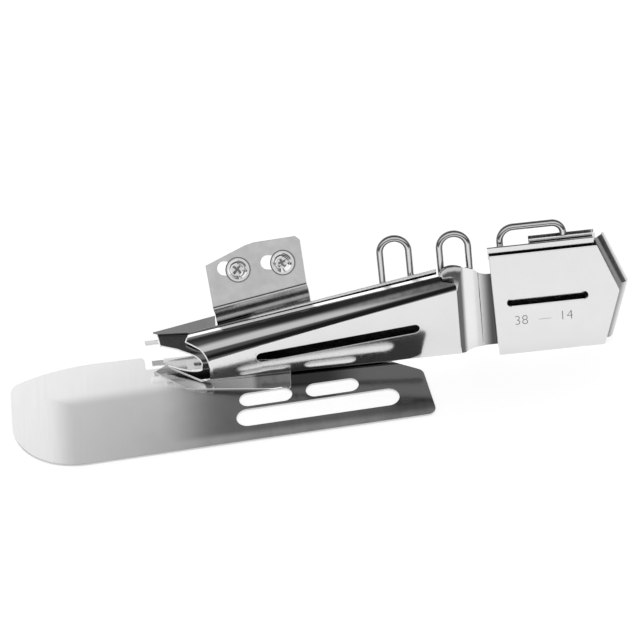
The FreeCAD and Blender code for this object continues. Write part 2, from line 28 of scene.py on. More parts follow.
# The camera of the photograph looks down at the plate from the front, with level lines rising to the right
PICTURE_SIZE = 640
CAMERA_TURN = math.radians(2.0)
CAMERA_DROP = math.radians(45.0)
CAMERA_ROLL = math.radians(6.8)
FOCAL_POINTS = 2600.0
SENSOR_WIDTH = 36.0
SLOT_MIDDLE_IN_PICTURE = (318.0, 407.0)
SLOT_MIDDLE = Vector((0.0, 0.0, 1.0)) * MM
SIZE_OF_A_POINT = 0.355 * MM

# The body's frame on the plate, and the lean of the tape guide
BODY_TURN = math.radians(-3.0)
BODY_ORIGIN = Vector((-36.2, 19.6, 0.0)) * MM
GUIDE_LEAN = math.radians(20.0)
GUIDE_T = -1.2
GUIDE_Z = 1.2

# What the metal sees from the front horizon over the top to the horizon behind
STUDIO_STOPS = (
    (0.00, 0.12),
    (0.13, 0.09),
    (0.19, 0.66),
    (0.40, 0.70),
    (0.50, 0.10),
    (0.64, 0.09),
    (0.70, 0.12),
    (1.00, 0.12),
)
# What hangs high behind the object, from left to right, for directions whose X lies within a tenth
BACK_REACH = 0.1
BACK_STOPS = (
    (0.00, 0.95),
    (0.10, 0.88),
    (0.18, 0.66),
    (0.36, 0.52),
    (0.46, 0.24),
    (0.64, 0.26),
    (0.76, 0.09),
    (1.00, 0.09),
)
PAPER_BEHIND = 0.95
PAPER_EDGE = (0.7405, 0.7475)
CEILING_EDGE = (0.705, 0.73)
FLOOR_GLOW = 0.70

# How fine the rolling marks are along and across the sheet, and the slow waves in it
ROLLING_GRAIN = (900.0, 60.0, 900.0)
WAVE_SCALE = 22.0
# Which way the two curled lips at the guide's point face, along the guide and up it, where their painted
# shade and highlight are set
UPPER_LIP_OUT = (0.932, 0.361)
LOWER_LIP_OUT = (0.957, -0.291)

# From here on places and sizes are in millimetres, apart from the ones with a unit of their own
# The scroll's section, where a pair gives the size at the mouth and at the wide end
WIDE_S = 90.3
BODY_FLOOR = 1.5
MOUTH_CORNER = (4.3, 13.9)
WIDE_CORNER = (5.6, 32.6)
ROOF_BACK = (12.8, 11.4)
ROOF_RISE = math.tan(math.radians(7.0))
ROOF_LIP = 1.4
EDGE_LINE = 0.24 * MM
ROLL = (9.0, 5.6)
FLOOR_BACK = (8.6, 2.5)
SCROLL_SHEET = 0.6
FOLD_ROUND = 0.6
ROLL_STEPS = 16
# The rolled top's middle faces half away from the operator and half up
ROLL_LOOKS = 0.7071

# The slit in the scroll's face, and how far its sheet reaches along the rolled top, by the share of the roll
SLIT_START = (18.8, 8.7)
SLIT_END = (74.3, 14.4)
SLIT_WIDTH = 3.8
SCROLL_LEFT_S = 1.0
SCROLL_RIGHT_S = 78.0
MOUTH_ON_ROLL = (
    (0.0, -7.9), (0.15, -6.2), (0.3, -4.4), (0.45, -2.7),
    (0.6, -1.7), (0.75, -1.0), (0.9, -0.5), (1.0, -0.25),
)
NOTCH_ON_ROLL = (
    (0.0, 84.8), (0.30, 85.4), (0.44, 87.8), (0.5, 89.2),
    (0.6, 90.0), (0.7, 90.3), (1.0, 90.3),
)

# The liner inside the scroll, with the line of its slanted front edge on the floor and on the roof
LINER_PATH = ((11.1, 4.0), (1.7, 4.0), (3.4, 11.1), (16.6, 12.4))
LINER_ROUNDS = (2.0, 4.5)
LINER_SHEET = 0.5
LINER_END_S = 16.5
LINER_STEPS = 8
LINER_FLOOR_EDGE = (
    (1.7, -2.7), (2.3, -3.0), (2.7, -4.6), (3.6, -7.2),
    (5.2, -11.1), (6.9, -13.9), (8.6, -16.9), (20.0, -17.1),
)
LINER_ROOF_EDGE = (
    (1.7, -2.7), (2.9, -2.7), (3.4, -3.3), (4.1, -4.2), (4.8, -5.4), (5.7, -7.3),
    (6.6, -9.0), (8.4, -11.9), (9.2, -14.4), (9.8, -17.1), (20.0, -18.9),
)

# The tape guide, the neck's hood, the tab with its screws, and the wires
GUIDE_FRONT_TOP = 38.0
GUIDE_TIP = (57.9, 20.0)
GUIDE_RIM = (12.2, 50.0, 36.0, 40.4)
GUIDE_RIM_DEPTH = (2.15, 2.65)
TAB_BEND = (3.3, 23.4, math.tan(math.radians(11.9)))
HEAD_TURNS = (38.0, 8.0)
HOOD_RIM = ((-6.9, 29.8), (-5.9, 32.4), (-4.3, 34.4), (-2.5, 35.2), (0.4, 35.2), (2.6, 34.6))
HOOD_FOOT = ((-6.9, 28.6), (-5.2, 29.4), (-3.6, 29.8), (-2.0, 29.6), (-0.6, 28.6), (0.4, 26.0))
WIRE_SWELL = 0.25 * MM

# Edges: the widest strip that counts as a cut edge, and how round sheets and screws are eased
RIM_WIDTH = 1.15
SHEET_EASE = 0.12
SCREW_EASE = 0.06

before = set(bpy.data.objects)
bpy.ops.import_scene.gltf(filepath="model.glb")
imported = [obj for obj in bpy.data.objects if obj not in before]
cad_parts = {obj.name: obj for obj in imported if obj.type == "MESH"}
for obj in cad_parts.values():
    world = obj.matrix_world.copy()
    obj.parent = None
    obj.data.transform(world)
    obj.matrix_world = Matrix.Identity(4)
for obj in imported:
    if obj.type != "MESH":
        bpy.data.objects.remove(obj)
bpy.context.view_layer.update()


class Value:
    """A socket or number that shader maths can be written with."""

    def __init__(self, tree, socket):
        self.tree = tree
        self.socket = socket

    def _math(self, operation, *others):
        node = self.tree.nodes.new("ShaderNodeMath")
        node.operation = operation
        for slot, value in zip(node.inputs, (self,) + others):
            if isinstance(value, Value):
                self.tree.links.new(value.socket, slot)
            else:
                slot.default_value = value
        return Value(self.tree, node.outputs[0])

    def _flipped(self, operation, number):
        node = self.tree.nodes.new("ShaderNodeMath")
        node.operation = operation
        node.inputs[0].default_value = number
        self.tree.links.new(self.socket, node.inputs[1])
        return Value(self.tree, node.outputs[0])

    def __add__(self, other):
        return self._math("ADD", other)

    def __radd__(self, number):
        return self._math("ADD", number)

    def __sub__(self, other):
        return self._math("SUBTRACT", other)

    def __rsub__(self, number):
        return self._flipped("SUBTRACT", number)

    def __mul__(self, other):
        return self._math("MULTIPLY", other)

    def __rmul__(self, number):
        return self._math("MULTIPLY", number)

    def __truediv__(self, other):
        return self._math("DIVIDE", other)

    def eased(self, low, high):
        """0 below low, 1 above high and a smooth step between them."""
        node = self.tree.nodes.new("ShaderNodeMapRange")
        node.interpolation_type = "SMOOTHSTEP"
        self.tree.links.new(self.socket, node.inputs[0])
        node.inputs[1].default_value = low
        node.inputs[2].default_value = high
        return Value(self.tree, node.outputs[0])

    def clamped(self):
        """The value kept between 0 and 1."""
        node = self.tree.nodes.new("ShaderNodeClamp")
        self.tree.links.new(self.socket, node.inputs[0])
        return Value(self.tree, node.outputs[0])


class Nodes:
    """One material's or world's node tree."""

    def __init__(self, owner):
        owner.use_nodes = True
        self.tree = owner.node_tree
        self.tree.nodes.clear()

    def add(self, kind, settings=None, **inputs):
        """Makes a node, sets its settings and a ramp's stops first, and then fills its sockets."""
        node = self.tree.nodes.new("ShaderNode" + kind)
        for name, value in (settings or {}).items():
            if name == "stops":
                ramp = node.color_ramp
                while len(ramp.elements) < len(value):
                    ramp.elements.new(1.0)
                for stop, (place, shade) in zip(ramp.elements, value):
                    stop.position = place
                    stop.color = (shade, shade, shade, 1.0)
            else:
                setattr(node, name, value)
        for name, value in inputs.items():
            label = name.replace("_", " ")
            slot = node.inputs[label if label in node.inputs else name]
            if isinstance(value, Value):
                self.tree.links.new(value.socket, slot)
            elif hasattr(value, "is_output"):
                self.tree.links.new(value, slot)
            else:
                slot.default_value = value
        return node

    def value(self, node, output=0):
        return Value(self.tree, node.outputs[output])


def grey(shade):
    return (shade, shade, shade, 1.0)


def steel(name, shade, rubbed, ripple, painted_light=None, glow=0.0):
    """Bright stainless sheet: a near mirror with faint rolling marks, small rubs and slow waves.

    The optional function of the nodes and the place gives painted light and shade: the share of the light
    that the metal's colour keeps. The glow is a painted glow, a faint emission of the metal's own."""
    material = bpy.data.materials.new(name)
    nodes = Nodes(material)
    place = nodes.add("TexCoord").outputs["Object"]
    rolled = nodes.add("Mapping", Vector=place, Scale=ROLLING_GRAIN)
    marks = nodes.value(nodes.add("TexNoise", Vector=rolled.outputs[0], Scale=1.0, Detail=3.0))
    rubs = nodes.value(nodes.add("TexNoise", Vector=place, Scale=130.0, Detail=4.0, Roughness=0.6))
    waves = nodes.value(nodes.add("TexNoise", Vector=place, Scale=WAVE_SCALE, Detail=1.0))
    roughness = (rubbed + (marks - 0.5) * rubbed * 0.5 + (rubs - 0.5) * rubbed * 0.7).clamped()
    tone_and_painted_light = (rubs - 0.5) * 0.10 + 0.98
    # Painted light and shade, multiplied into the colour on top of the random tone of the rubs
    if painted_light:
        tone_and_painted_light = tone_and_painted_light * painted_light(nodes, place)
    colour = nodes.add("Mix", {"data_type": "RGBA"}, Factor=tone_and_painted_light.clamped())
    # Sockets 6 and 7 are the two colours that are mixed, and output 2 is the mixed one
    colour.inputs[6].default_value = grey(0.0)
    colour.inputs[7].default_value = grey(shade)
    fine = nodes.add("Bump", Height=marks, Strength=0.04, Distance=0.02 * MM)
    slow = nodes.add("Bump", Height=waves, Strength=1.0, Distance=ripple * MM, Normal=fine.outputs[0])
    skin = {"Base_Color": colour.outputs[2], "Roughness": roughness, "Normal": slow.outputs[0]}
    shader = nodes.add("BsdfPrincipled", **skin)
    shader.inputs["Metallic"].default_value = 1.0
    # Painted glow: a faint emission that keeps cut edges bright
    if glow:
        shader.inputs["Emission Color"].default_value = grey(glow)
        shader.inputs["Emission Strength"].default_value = 1.0
    nodes.add("OutputMaterial", Surface=shader.outputs[0])
    return material


def body_place(nodes, place):
    """The place along the scroll, away from the operator and up, in millimetres."""
    parts = nodes.add("SeparateXYZ", Vector=place)
    x = (nodes.value(parts, 0) - BODY_ORIGIN.x) / MM
    y = (nodes.value(parts, 1) - BODY_ORIGIN.y) / MM
    s = x * math.cos(BODY_TURN) + y * math.sin(BODY_TURN)
    t = y * math.cos(BODY_TURN) - x * math.sin(BODY_TURN)
    return s, t, nodes.value(parts, 2) / MM


def plate_painted_light(nodes, place):
    """Painted light on the plate: a painted reflection makes it brightest at its left end and back edge,
    painted shade dims it under the scroll, and a band further back between x -13 and 20 mm is darkened more.
    """
    parts = nodes.add("SeparateXYZ", Vector=place)
    x = nodes.value(parts, 0) / MM
    y = nodes.value(parts, 1) / MM
    bright = (1.0 - x.eased(-97.0, -86.0))._math("MAXIMUM", y.eased(17.0, 23.5))
    lobe = bright * 0.32 + 0.68
    under = 0.52 - (y + x * 0.02).eased(-9.5, -6.0) * 0.28
    right = x.eased(-58.0, -33.0)
    shaded = x.eased(-13.0, -8.0) * (1.0 - x.eased(4.0, 20.0)) * (y + x * 0.03).eased(9.5, 12.5)
    return (lobe * (1.0 - right) + under * right) * (1.0 - shaded * 0.72)


def neck_painted_reflection(nodes, place):
    """Painted reflection: the neck is darkened towards both its ends, standing in for the dim inside of the
    guide and of the scroll.
    """
    s, t, z = body_place(nodes, place)
    across = s - WIDE_S - (z - 16.0) * 0.02
    left = across.eased(1.6, 3.4)
    right = 1.0 - across.eased(5.6, 7.6) * 0.22 - across.eased(7.4, 12.4) * 0.68
    return (left * 0.84 + 0.16) * right


def wire_painted_reflection(nodes, place):
    """Painted reflection: a round wire is darkened along both its sides, standing in for the dim room, and
    lightened at its grazing edges.
    """
    facing = nodes.value(nodes.add("LayerWeight", Blend=0.5), "Facing")
    return 1.0 - facing.eased(0.03, 0.26) * 0.80 + facing.eased(0.5, 0.85) * 0.5


def wall_painted_shade(nodes, place):
    """Painted shade: the back wall and rear blade are darker towards the mouth, most of all at their free
    end there.
    """
    s, t, z = body_place(nodes, place)
    return s.eased(14.5, 17.5) * 0.62 + 0.30 + s.eased(-2.0, 14.0) * 0.08


def tab_painted_reflection_and_spots(nodes, place):
    """Painted reflection: the tab's flange, lower than its leaf, is darkened as if showing more of the dim
    room; fine random spots mottle the whole tab.
    """
    s, t, z = body_place(nodes, place)
    rise = z - (s - TAB_BEND[0]) * TAB_BEND[2] - TAB_BEND[1]
    spots = nodes.value(nodes.add("TexNoise", Vector=place, Scale=260.0, Detail=3.0))
    return (rise.eased(-0.6, 0.5) * 0.38 + 0.40 + rise.eased(-5.0, -2.0) * 0.10) * (spots * 0.30 + 0.84)


def foot_painted_shade_and_patches(nodes, place):
    """Painted shade dims the leaf under the mouth; from 14 to 17 mm along the scroll onwards the leaf is
    also darker in patches.
    """
    s, t, z = body_place(nodes, place)
    rubs = nodes.value(nodes.add("TexNoise", Vector=place, Scale=420.0, Detail=4.0))
    patchy_part = s.eased(14.0, 17.0)
    dim = 1.0 - s.eased(-9.0, 1.0)
    return (1.0 - patchy_part * (0.45 + rubs * 0.3)) * (1.0 - dim * 0.45)


def scroll_painted_reflection(nodes, place):
    """Painted reflection: the rolled top gets one light band between two dark ones, which narrows towards
    the neck.
    """
    s, t, z = body_place(nodes, place)
    up = (t + z) * ROLL_LOOKS
    face_edge = up - s * 0.165 - 9.0
    band_low = up - s * 0.156 - 12.05
    band_high = up - s * 0.130 - 15.2
    rubs = nodes.value(nodes.add("TexNoise", Vector=place, Scale=500.0, Detail=3.0))
    first = 1.0 - face_edge.eased(0.0, 0.5) * (1.0 - band_low.eased(-0.3, 0.35)) * 0.86
    right = s.eased(40.0, 72.0)
    edge = (band_high + s.eased(8.0, 34.0) * 0.8 + right * 0.5) * (right * 0.8 + 1.0)
    second = 1.0 - edge.eased(-0.4, 2.0) * (0.74 - right * (rubs * 0.5 - 0.02))
    fade = 1.0 - band_low.eased(-0.5, 0.2) * s.eased(48.0, 86.0) * 0.50
    return first * second * fade


def lip_painted_light(nodes, place):
    """Painted shade and highlight: the curled lips at the guide's point are dark inside and bright along
    their free edge.
    """
    s, t, z = body_place(nodes, place)
    along_guide = s - WIDE_S - GUIDE_TIP[0]
    up = (z - GUIDE_Z) / math.cos(GUIDE_LEAN) - GUIDE_TIP[1]
    upper = along_guide * UPPER_LIP_OUT[0] + up * UPPER_LIP_OUT[1]
    lower = along_guide * LOWER_LIP_OUT[0] + up * LOWER_LIP_OUT[1]
    out = upper._math("MAXIMUM", lower)
    return 1.0 - out.eased(-0.6, -0.2) * 0.72 + out.eased(0.8, 3.2) * 0.46


def floor_paper():
    """White paper under the object, white to the eye and to the metal, which keeps a soft shadow."""
    material = bpy.data.materials.new("floor_paper")
    nodes = Nodes(material)
    light = nodes.add("LightPath")
    rays = [nodes.value(light, "Is %s Ray" % kind) for kind in ("Camera", "Glossy", "Transmission")]
    seen = (rays[0] + rays[1] + rays[2]).clamped()
    glow = nodes.add("Emission", Color=grey(1.0), Strength=seen * FLOOR_GLOW)
    paper = nodes.add("BsdfDiffuse", Color=grey(0.8))
    both = nodes.add("AddShader")
    nodes.tree.links.new(glow.outputs[0], both.inputs[0])
    nodes.tree.links.new(paper.outputs[0], both.inputs[1])
    nodes.add("OutputMaterial", Surface=both.outputs[0])
    return material


def studio_world():
    """A photo studio: white paper behind, a dark ceiling, soft light over the camera and a dim room."""
    world = bpy.data.worlds.new("studio")
    bpy.context.scene.world = world
    nodes = Nodes(world)
    direction = nodes.add("TexCoord").outputs["Generated"]
    parts = nodes.add("SeparateXYZ", Vector=direction)
    front = 0.0 - nodes.value(parts, 1)
    up = nodes.value(parts, 2)
    # 0 is the front horizon, 0.5 straight up and 1 the horizon behind the object
    over = up._math("ARCTAN2", front) / math.pi
    shade = nodes.value(nodes.add("ValToRGB", {"stops": STUDIO_STOPS}, Fac=over))
    sideways = nodes.value(parts, 0) / (2.0 * BACK_REACH) + 0.5
    hung = nodes.value(nodes.add("ValToRGB", {"stops": BACK_STOPS}, Fac=sideways))
    behind = over.eased(*CEILING_EDGE)
    low = over.eased(*PAPER_EDGE)
    seen = shade * (1.0 - behind) + behind * (hung * (1.0 - low) + low * PAPER_BEHIND)
    light = nodes.add("LightPath")
    room = nodes.add("Background", Color=grey(1.0), Strength=seen)
    white = nodes.add("Background", Color=grey(1.0), Strength=1.0)
    mix = nodes.add("MixShader")
    nodes.tree.links.new(light.outputs["Is Camera Ray"], mix.inputs[0])
    nodes.tree.links.new(room.outputs[0], mix.inputs[1])
    nodes.tree.links.new(white.outputs[0], mix.inputs[2])
    nodes.add("OutputWorld", Surface=mix.outputs[0])


def photograph_camera():
    """The camera stands so that the long slot's middle falls where the photograph has it."""
    level = Vector((math.cos(CAMERA_TURN), -math.sin(CAMERA_TURN), 0.0))
    ahead = Vector((math.sin(CAMERA_TURN), math.cos(CAMERA_TURN), 0.0))
    forward = ahead * math.cos(CAMERA_DROP) - Vector((0.0, 0.0, math.sin(CAMERA_DROP)))
    up = level.cross(forward)
    right = level * math.cos(CAMERA_ROLL) - up * math.sin(CAMERA_ROLL)
    up = level * math.sin(CAMERA_ROLL) + up * math.cos(CAMERA_ROLL)
    middle = PICTURE_SIZE / 2.0
    ray = forward + right * ((SLOT_MIDDLE_IN_PICTURE[0] - middle) / FOCAL_POINTS)
    ray -= up * ((SLOT_MIDDLE_IN_PICTURE[1] - middle) / FOCAL_POINTS)
    data = bpy.data.cameras.new("camera")
    data.sensor_width = SENSOR_WIDTH
    data.lens = FOCAL_POINTS / PICTURE_SIZE * SENSOR_WIDTH
    data.clip_end = 20.0
    camera = bpy.data.objects.new("camera", data)
    turn = Matrix((right, up, -forward)).transposed().to_4x4()
    camera.matrix_world = Matrix.Translation(SLOT_MIDDLE - ray * (FOCAL_POINTS * SIZE_OF_A_POINT)) @ turn
    bpy.context.scene.collection.objects.link(camera)
    bpy.context.scene.camera = camera


def new_piece(name, mesh_maker, *materials, body="root", material_slot="sheet"):
    """Makes a mesh object from a bmesh, which the maker fills, and lets it ride on the body."""
    shape = bmesh.new()
    mesh_maker(shape)
    mesh = bpy.data.meshes.new(name)
    shape.to_mesh(mesh)
    shape.free()
    piece = bpy.data.objects.new(name, mesh)
    bpy.context.scene.collection.objects.link(piece)
    for material in materials:
        mesh.materials.append(material)
    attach(piece, body)
    return piece


def merged_copy(shape, node, keep=None, change=None):
    """The CAD node's own surface, joined up and with its flats made whole."""
    shape.from_mesh(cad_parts[node].data)
    bmesh.ops.remove_doubles(shape, verts=shape.verts, dist=0.002 * MM)
    bmesh.ops.dissolve_limit(shape, angle_limit=math.radians(0.4), verts=shape.verts, edges=shape.edges)
    if keep:
        trim(shape, *keep)
    if change:
        shape.normal_update()
        change(shape)
    for face in shape.faces:
        face.smooth = True
        edges = sorted(face.edges, key=lambda edge: edge.calc_length())[-2:]
        cut = all(len(edge.link_faces) == 2 and edge.calc_face_angle(0.0) > 0.9 for edge in edges)
        if cut and face.calc_area() < edges[1].calc_length() * RIM_WIDTH * MM:
            face.material_index = 1
    for edge in shape.edges:
        if len(edge.link_faces) == 2:
            edge.smooth = edge.calc_face_angle(0.0) < math.radians(38.0)


def trim(shape, point, normal):
    """Cuts off what lies beyond a plane and closes the cut."""
    everything = shape.verts[:] + shape.edges[:] + shape.faces[:]
    bmesh.ops.bisect_plane(shape, geom=everything, plane_co=point, plane_no=normal, clear_outer=True)
    bmesh.ops.holes_fill(shape, edges=[edge for edge in shape.edges if len(edge.link_faces) == 1])


def swell_wire(shape):
    """The wire a little thicker than the node's, with its top kept at the same height."""
    for vert, normal in [(vert, vert.normal.copy()) for vert in shape.verts]:
        vert.co += normal * WIRE_SWELL - Vector((0.0, 0.0, WIRE_SWELL))


def ease_edges(piece, ease, sharp_from):
    """Rounds the edges that bend by more than an angle, and shades the flats evenly."""
    bevel = piece.modifiers.new("eased_edges", "BEVEL")
    bevel.width = ease * MM
    bevel.segments = 2
    bevel.limit_method = "ANGLE"
    bevel.angle_limit = math.radians(sharp_from)
    weights = piece.modifiers.new("even_shading", "WEIGHTED_NORMAL")
    weights.keep_sharp = True


def finished(node, material, rim=None, ease=SHEET_EASE, material_slot="sheet", keep=None, change=None):
    """A CAD piece with its sharp edges eased and its bends shaded smooth."""
    piece = new_piece(node + "_finish", lambda shape: merged_copy(shape, node, keep, change), material,
                      rim or material, material_slot=material_slot)
    ease_edges(piece, ease, 50.0)
    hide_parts(node)
    return piece


def body_point(s, t, z):
    """A point given by its place along the scroll, away from the operator and up, in millimetres."""
    x = s * math.cos(BODY_TURN) - t * math.sin(BODY_TURN)
    y = s * math.sin(BODY_TURN) + t * math.cos(BODY_TURN)
    return BODY_ORIGIN + Vector((x, y, z)) * MM


def guide_point(s, w, n):
    """A point on the leaning guide: along it from the scroll's wide end, up its sheet and into its depth."""
    t = GUIDE_T + w * math.sin(GUIDE_LEAN) + n * math.cos(GUIDE_LEAN)
    z = GUIDE_Z + w * math.cos(GUIDE_LEAN) - n * math.sin(GUIDE_LEAN)
    return body_point(WIDE_S + s, t, z)


def between(pair, s):
    """A size of the scroll at one place, from its sizes at the mouth and at the wide end."""
    return pair[0] + (pair[1] - pair[0]) * s / WIDE_S


def along(points, x):
    """The height of a line through the points at x."""
    for (x0, y0), (x1, y1) in zip(points[:-1], points[1:]):
        if x <= x1:
            break
    return y0 + (y1 - y0) * (x - x0) / (x1 - x0)


def rounded(points, radii, steps):
    """Points of a path in a plane whose inner corners are arcs."""
    line = [Vector(points[0])]
    for i, radius in enumerate(radii):
        before, corner, after = [Vector(p) for p in points[i:i + 3]]
        come = (corner - before).normalized()
        go = (after - corner).normalized()
        turn = come.angle(go)
        middle = corner + (go - come).normalized() * (radius / math.cos(turn / 2.0))
        first = corner - come * (radius * math.tan(turn / 2.0)) - middle
        sign = 1.0 if come.x * go.y - come.y * go.x > 0 else -1.0
        for k in range(steps + 1):
            line.append(middle + Matrix.Rotation(sign * turn * k / steps, 2) @ first)
    line.append(Vector(points[-1]))
    return line


def sheet_grid(shape, rows):
    """Joins rows of points by faces and returns them as rows of vertices and of faces."""
    verts = [[shape.verts.new(point) for point in row] for row in rows]
    faces = []
    for lower, upper in zip(verts[:-1], verts[1:]):
        cells = zip(lower[:-1], lower[1:], upper[1:], upper[:-1])
        faces.append([shape.faces.new(cell) for cell in cells])
    for face in shape.faces:
        face.smooth = True
    return verts, faces


def slit_half(s):
    """Half the width of the long slit in the scroll's face at one place along it."""
    half = SLIT_WIDTH / 2.0
    past = max(SLIT_START[0] - s, s - SLIT_END[0], 0.0)
    return math.sqrt(max(half * half - past * past, 0.0)) + 0.01


def scroll_section(s):
    """Points of the scroll's outer side at one place, from the roof's back edge to the floor."""
    corner = [between(sizes, s) for sizes in zip(MOUTH_CORNER, WIDE_CORNER)]
    back = between(ROOF_BACK, s)
    high = corner[1] + (back - ROOF_LIP - corner[0]) * ROOF_RISE
    path = ((back - ROOF_LIP, high), corner, (0.0, BODY_FLOOR), (between(FLOOR_BACK, s), BODY_FLOOR))
    line = [Vector((back, high - 0.15))] + rounded(path, (between(ROLL, s), FOLD_ROUND), ROLL_STEPS)
    slit_z = along((SLIT_START, SLIT_END), s)
    lean = corner[0] / (corner[1] - BODY_FLOOR)
    slit = []
    for z in (slit_z + slit_half(s), slit_z - slit_half(s)):
        slit.append(Vector((lean * (z - BODY_FLOOR), z)))
    return line[:ROLL_STEPS + 3] + slit + line[ROLL_STEPS + 3:]


def outer_scroll(shape):
    """The scroll's sheet, with its columns set closer round the ends of the slit."""
    half = SLIT_WIDTH / 2.0
    ends = [1.0 - math.cos(math.radians(15.0 * k)) for k in range(7)]
    columns = [SCROLL_LEFT_S, 6.0, 11.0, 15.0]
    columns += [SLIT_START[0] - half + half * k for k in ends]
    columns += [SLIT_START[0] + (SLIT_END[0] - SLIT_START[0]) * k / 10.0 for k in range(1, 10)]
    columns += [SLIT_END[0] + half - half * k for k in reversed(ends)]
    columns += [SCROLL_RIGHT_S]
    rows = []
    for i, (left, right) in enumerate(scroll_ends()):
        places = [left + (SCROLL_LEFT_S - left) * k / 6.0 for k in range(6)] + columns
        places += [SCROLL_RIGHT_S + (right - SCROLL_RIGHT_S) * k / 5.0 for k in range(1, 6)]
        rows.append([body_point(s, *scroll_section(s)[i]) for s in places])
    verts, faces = sheet_grid(shape, rows)
    # The slit lies in one row of faces, from the tenth column to the sixth from the end
    cut = faces[ROLL_STEPS + 3][10:-6]
    bmesh.ops.delete(shape, geom=cut, context="FACES_ONLY")
    loose = [edge for edge in shape.edges if not edge.link_faces]
    bmesh.ops.delete(shape, geom=loose, context="EDGES")
    for face in faces[0]:
        face.material_index = 2
    bmesh.ops.remove_doubles(shape, verts=shape.verts, dist=0.03 * MM)
    bmesh.ops.reverse_faces(shape, faces=shape.faces)


def scroll_ends():
    """Where each row of the scroll starts at the slanted mouth and ends at the neck."""
    rows = [(-6.9, 84.4), (-7.2, 84.6)]
    for k in range(ROLL_STEPS + 1):
        share = k / ROLL_STEPS
        rows.append((along(MOUTH_ON_ROLL, share), along(NOTCH_ON_ROLL, share)))
    rows += [(0.0, WIDE_S), (0.0, WIDE_S)]
    for k in range(ROLL_STEPS + 1):
        rows.append((-0.6 - 3.4 * k / ROLL_STEPS, WIDE_S))
    rows.append((-16.0, WIDE_S))
    return rows


def liner_section():
    """Points of the liner's outer side, each with the place where the sheet starts at the mouth."""
    line = rounded(LINER_PATH, LINER_ROUNDS, LINER_STEPS)
    floor = [line[0].lerp(line[1], k / 6.0) for k in range(6)]
    roof = [line[-2].lerp(line[-1], k / 8.0) for k in range(1, 9)]
    section = []
    for i, (t, z) in enumerate(floor + line[1:-1] + roof):
        edge = LINER_FLOOR_EDGE if i < len(floor) + LINER_STEPS + 1 else LINER_ROOF_EDGE
        section.append((along(edge, t), t, z))
    return section


def scroll_liner(shape):
    """The liner's sheet, with its columns set closer at the mouth."""
    rows = []
    for left, t, z in liner_section():
        places = [left + (LINER_END_S - left) * (k / 24.0) ** 1.3 for k in range(25)]
        rows.append([body_point(s, t, z) for s in places])
    sheet_grid(shape, rows)


def cut_edge(name, points, material):
    """The bright line along a sheet's cut edge, as a thin round bead, made bright by its material's painted
    highlight and painted glow.
    """
    def bead(shape):
        rows = []
        for i, point in enumerate(points):
            before, after = points[max(i - 1, 0)], points[min(i + 1, len(points) - 1)]
            tangent = (after - before).normalized()
            side = tangent.cross(Vector((0.0, 0.6, 0.8))).normalized()
            over = side.cross(tangent)
            turns = [math.radians(45.0 * k) for k in range(9)]
            rows.append([point + (side * math.cos(a) + over * math.sin(a)) * EDGE_LINE for a in turns])
        sheet_grid(shape, rows)
        bmesh.ops.remove_doubles(shape, verts=shape.verts, dist=0.01 * MM)
        bmesh.ops.holes_fill(shape, edges=[edge for edge in shape.edges if len(edge.link_faces) == 1])
        bmesh.ops.recalc_face_normals(shape, faces=shape.faces)

    new_piece(name, bead, material)


def mouth_edges(material):
    """Beads along the mouth of the outer scroll and of the liner inside it."""
    outer = [body_point(left, *scroll_section(left)[i]) for i, (left, right) in enumerate(scroll_ends())]
    cut_edge("scroll_mouth_edge", outer[1:ROLL_STEPS + 5], material)
    cut_edge("liner_mouth_edge", [body_point(*place) for place in liner_section()[3:]], material)


def bent_sheet(node, maker, thickness, outside, inside, rim):
    """A piece made as a curved surface and given the sheet's thickness."""
    piece = new_piece(node + "_finish", maker, outside, inside, rim)
    wall = piece.modifiers.new("thickness", "SOLIDIFY")
    wall.thickness = thickness * MM
    wall.offset = -1.0
    wall.use_even_offset = True
    wall.material_offset = 1
    wall.material_offset_rim = 2
    ease_edges(piece, SHEET_EASE, 60.0)
    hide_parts(node)
    return piece


def neck_hood(shape):
    """The neck's upper left corner, drawn forward over the scroll's end as a rounded hood."""
    rows = []
    for k in range(7):
        turn = math.radians(15.0 * k)
        row = []
        for (s0, w0), (s1, w1) in zip(HOOD_RIM, HOOD_FOOT):
            share = 1.0 - math.cos(turn)
            depth = 2.2 - 1.5 * math.sin(turn)
            row.append(guide_point(s0 + (s1 - s0) * share, w0 + (w1 - w0) * share, depth))
        rows.append(row)
    sheet_grid(shape, rows)
    bmesh.ops.reverse_faces(shape, faces=shape.faces)


def upright_rims(shape):
    """Marks the plate's cut edges all round, also round its slots and corners."""
    for face in shape.faces:
        if abs(face.normal.z) < 0.5:
            face.material_index = 1


def tab_axes():
    """Directions along the tab's bend, up its leaf and out of its front."""
    slope = math.atan(TAB_BEND[2])
    origin = body_point(0.0, 0.0, 0.0)
    bend = (body_point(math.cos(slope), 0.0, math.sin(slope)) - origin).normalized()
    rise = body_point(-math.sin(slope), 0.0, math.cos(slope)) - origin
    back = body_point(0.0, 1.0, 0.0) - origin
    up = (rise.normalized() + back.normalized()).normalized()
    return bend, up, bend.cross(up)


def head_frame(node):
    """The middle of a round piece's front, its radius and the tab's axes."""
    bend, up, out = tab_axes()
    points = [vert.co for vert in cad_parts[node].data.vertices]
    top = max(point.dot(out) for point in points)
    front = [point for point in points if top - point.dot(out) < 1.2 * MM]
    low = [min(point.dot(axis) for point in front) for axis in (bend, up)]
    high = [max(point.dot(axis) for point in front) for axis in (bend, up)]
    middle = bend * (low[0] + high[0]) / 2.0 + up * (low[1] + high[1]) / 2.0 + out * top
    return middle, (high[0] - low[0]) / 2.0, bend, up, out


def ring_rows(middle, bend, up, out, profile, steps=40):
    """Rows of points round an axis, one for each radius and height of the profile."""
    rows = []
    for radius, height in profile:
        row = []
        for k in range(steps + 1):
            turn = 2.0 * math.pi * k / steps
            row.append(middle + (bend * math.cos(turn) + up * math.sin(turn)) * radius + out * height)
        rows.append(row)
    return rows


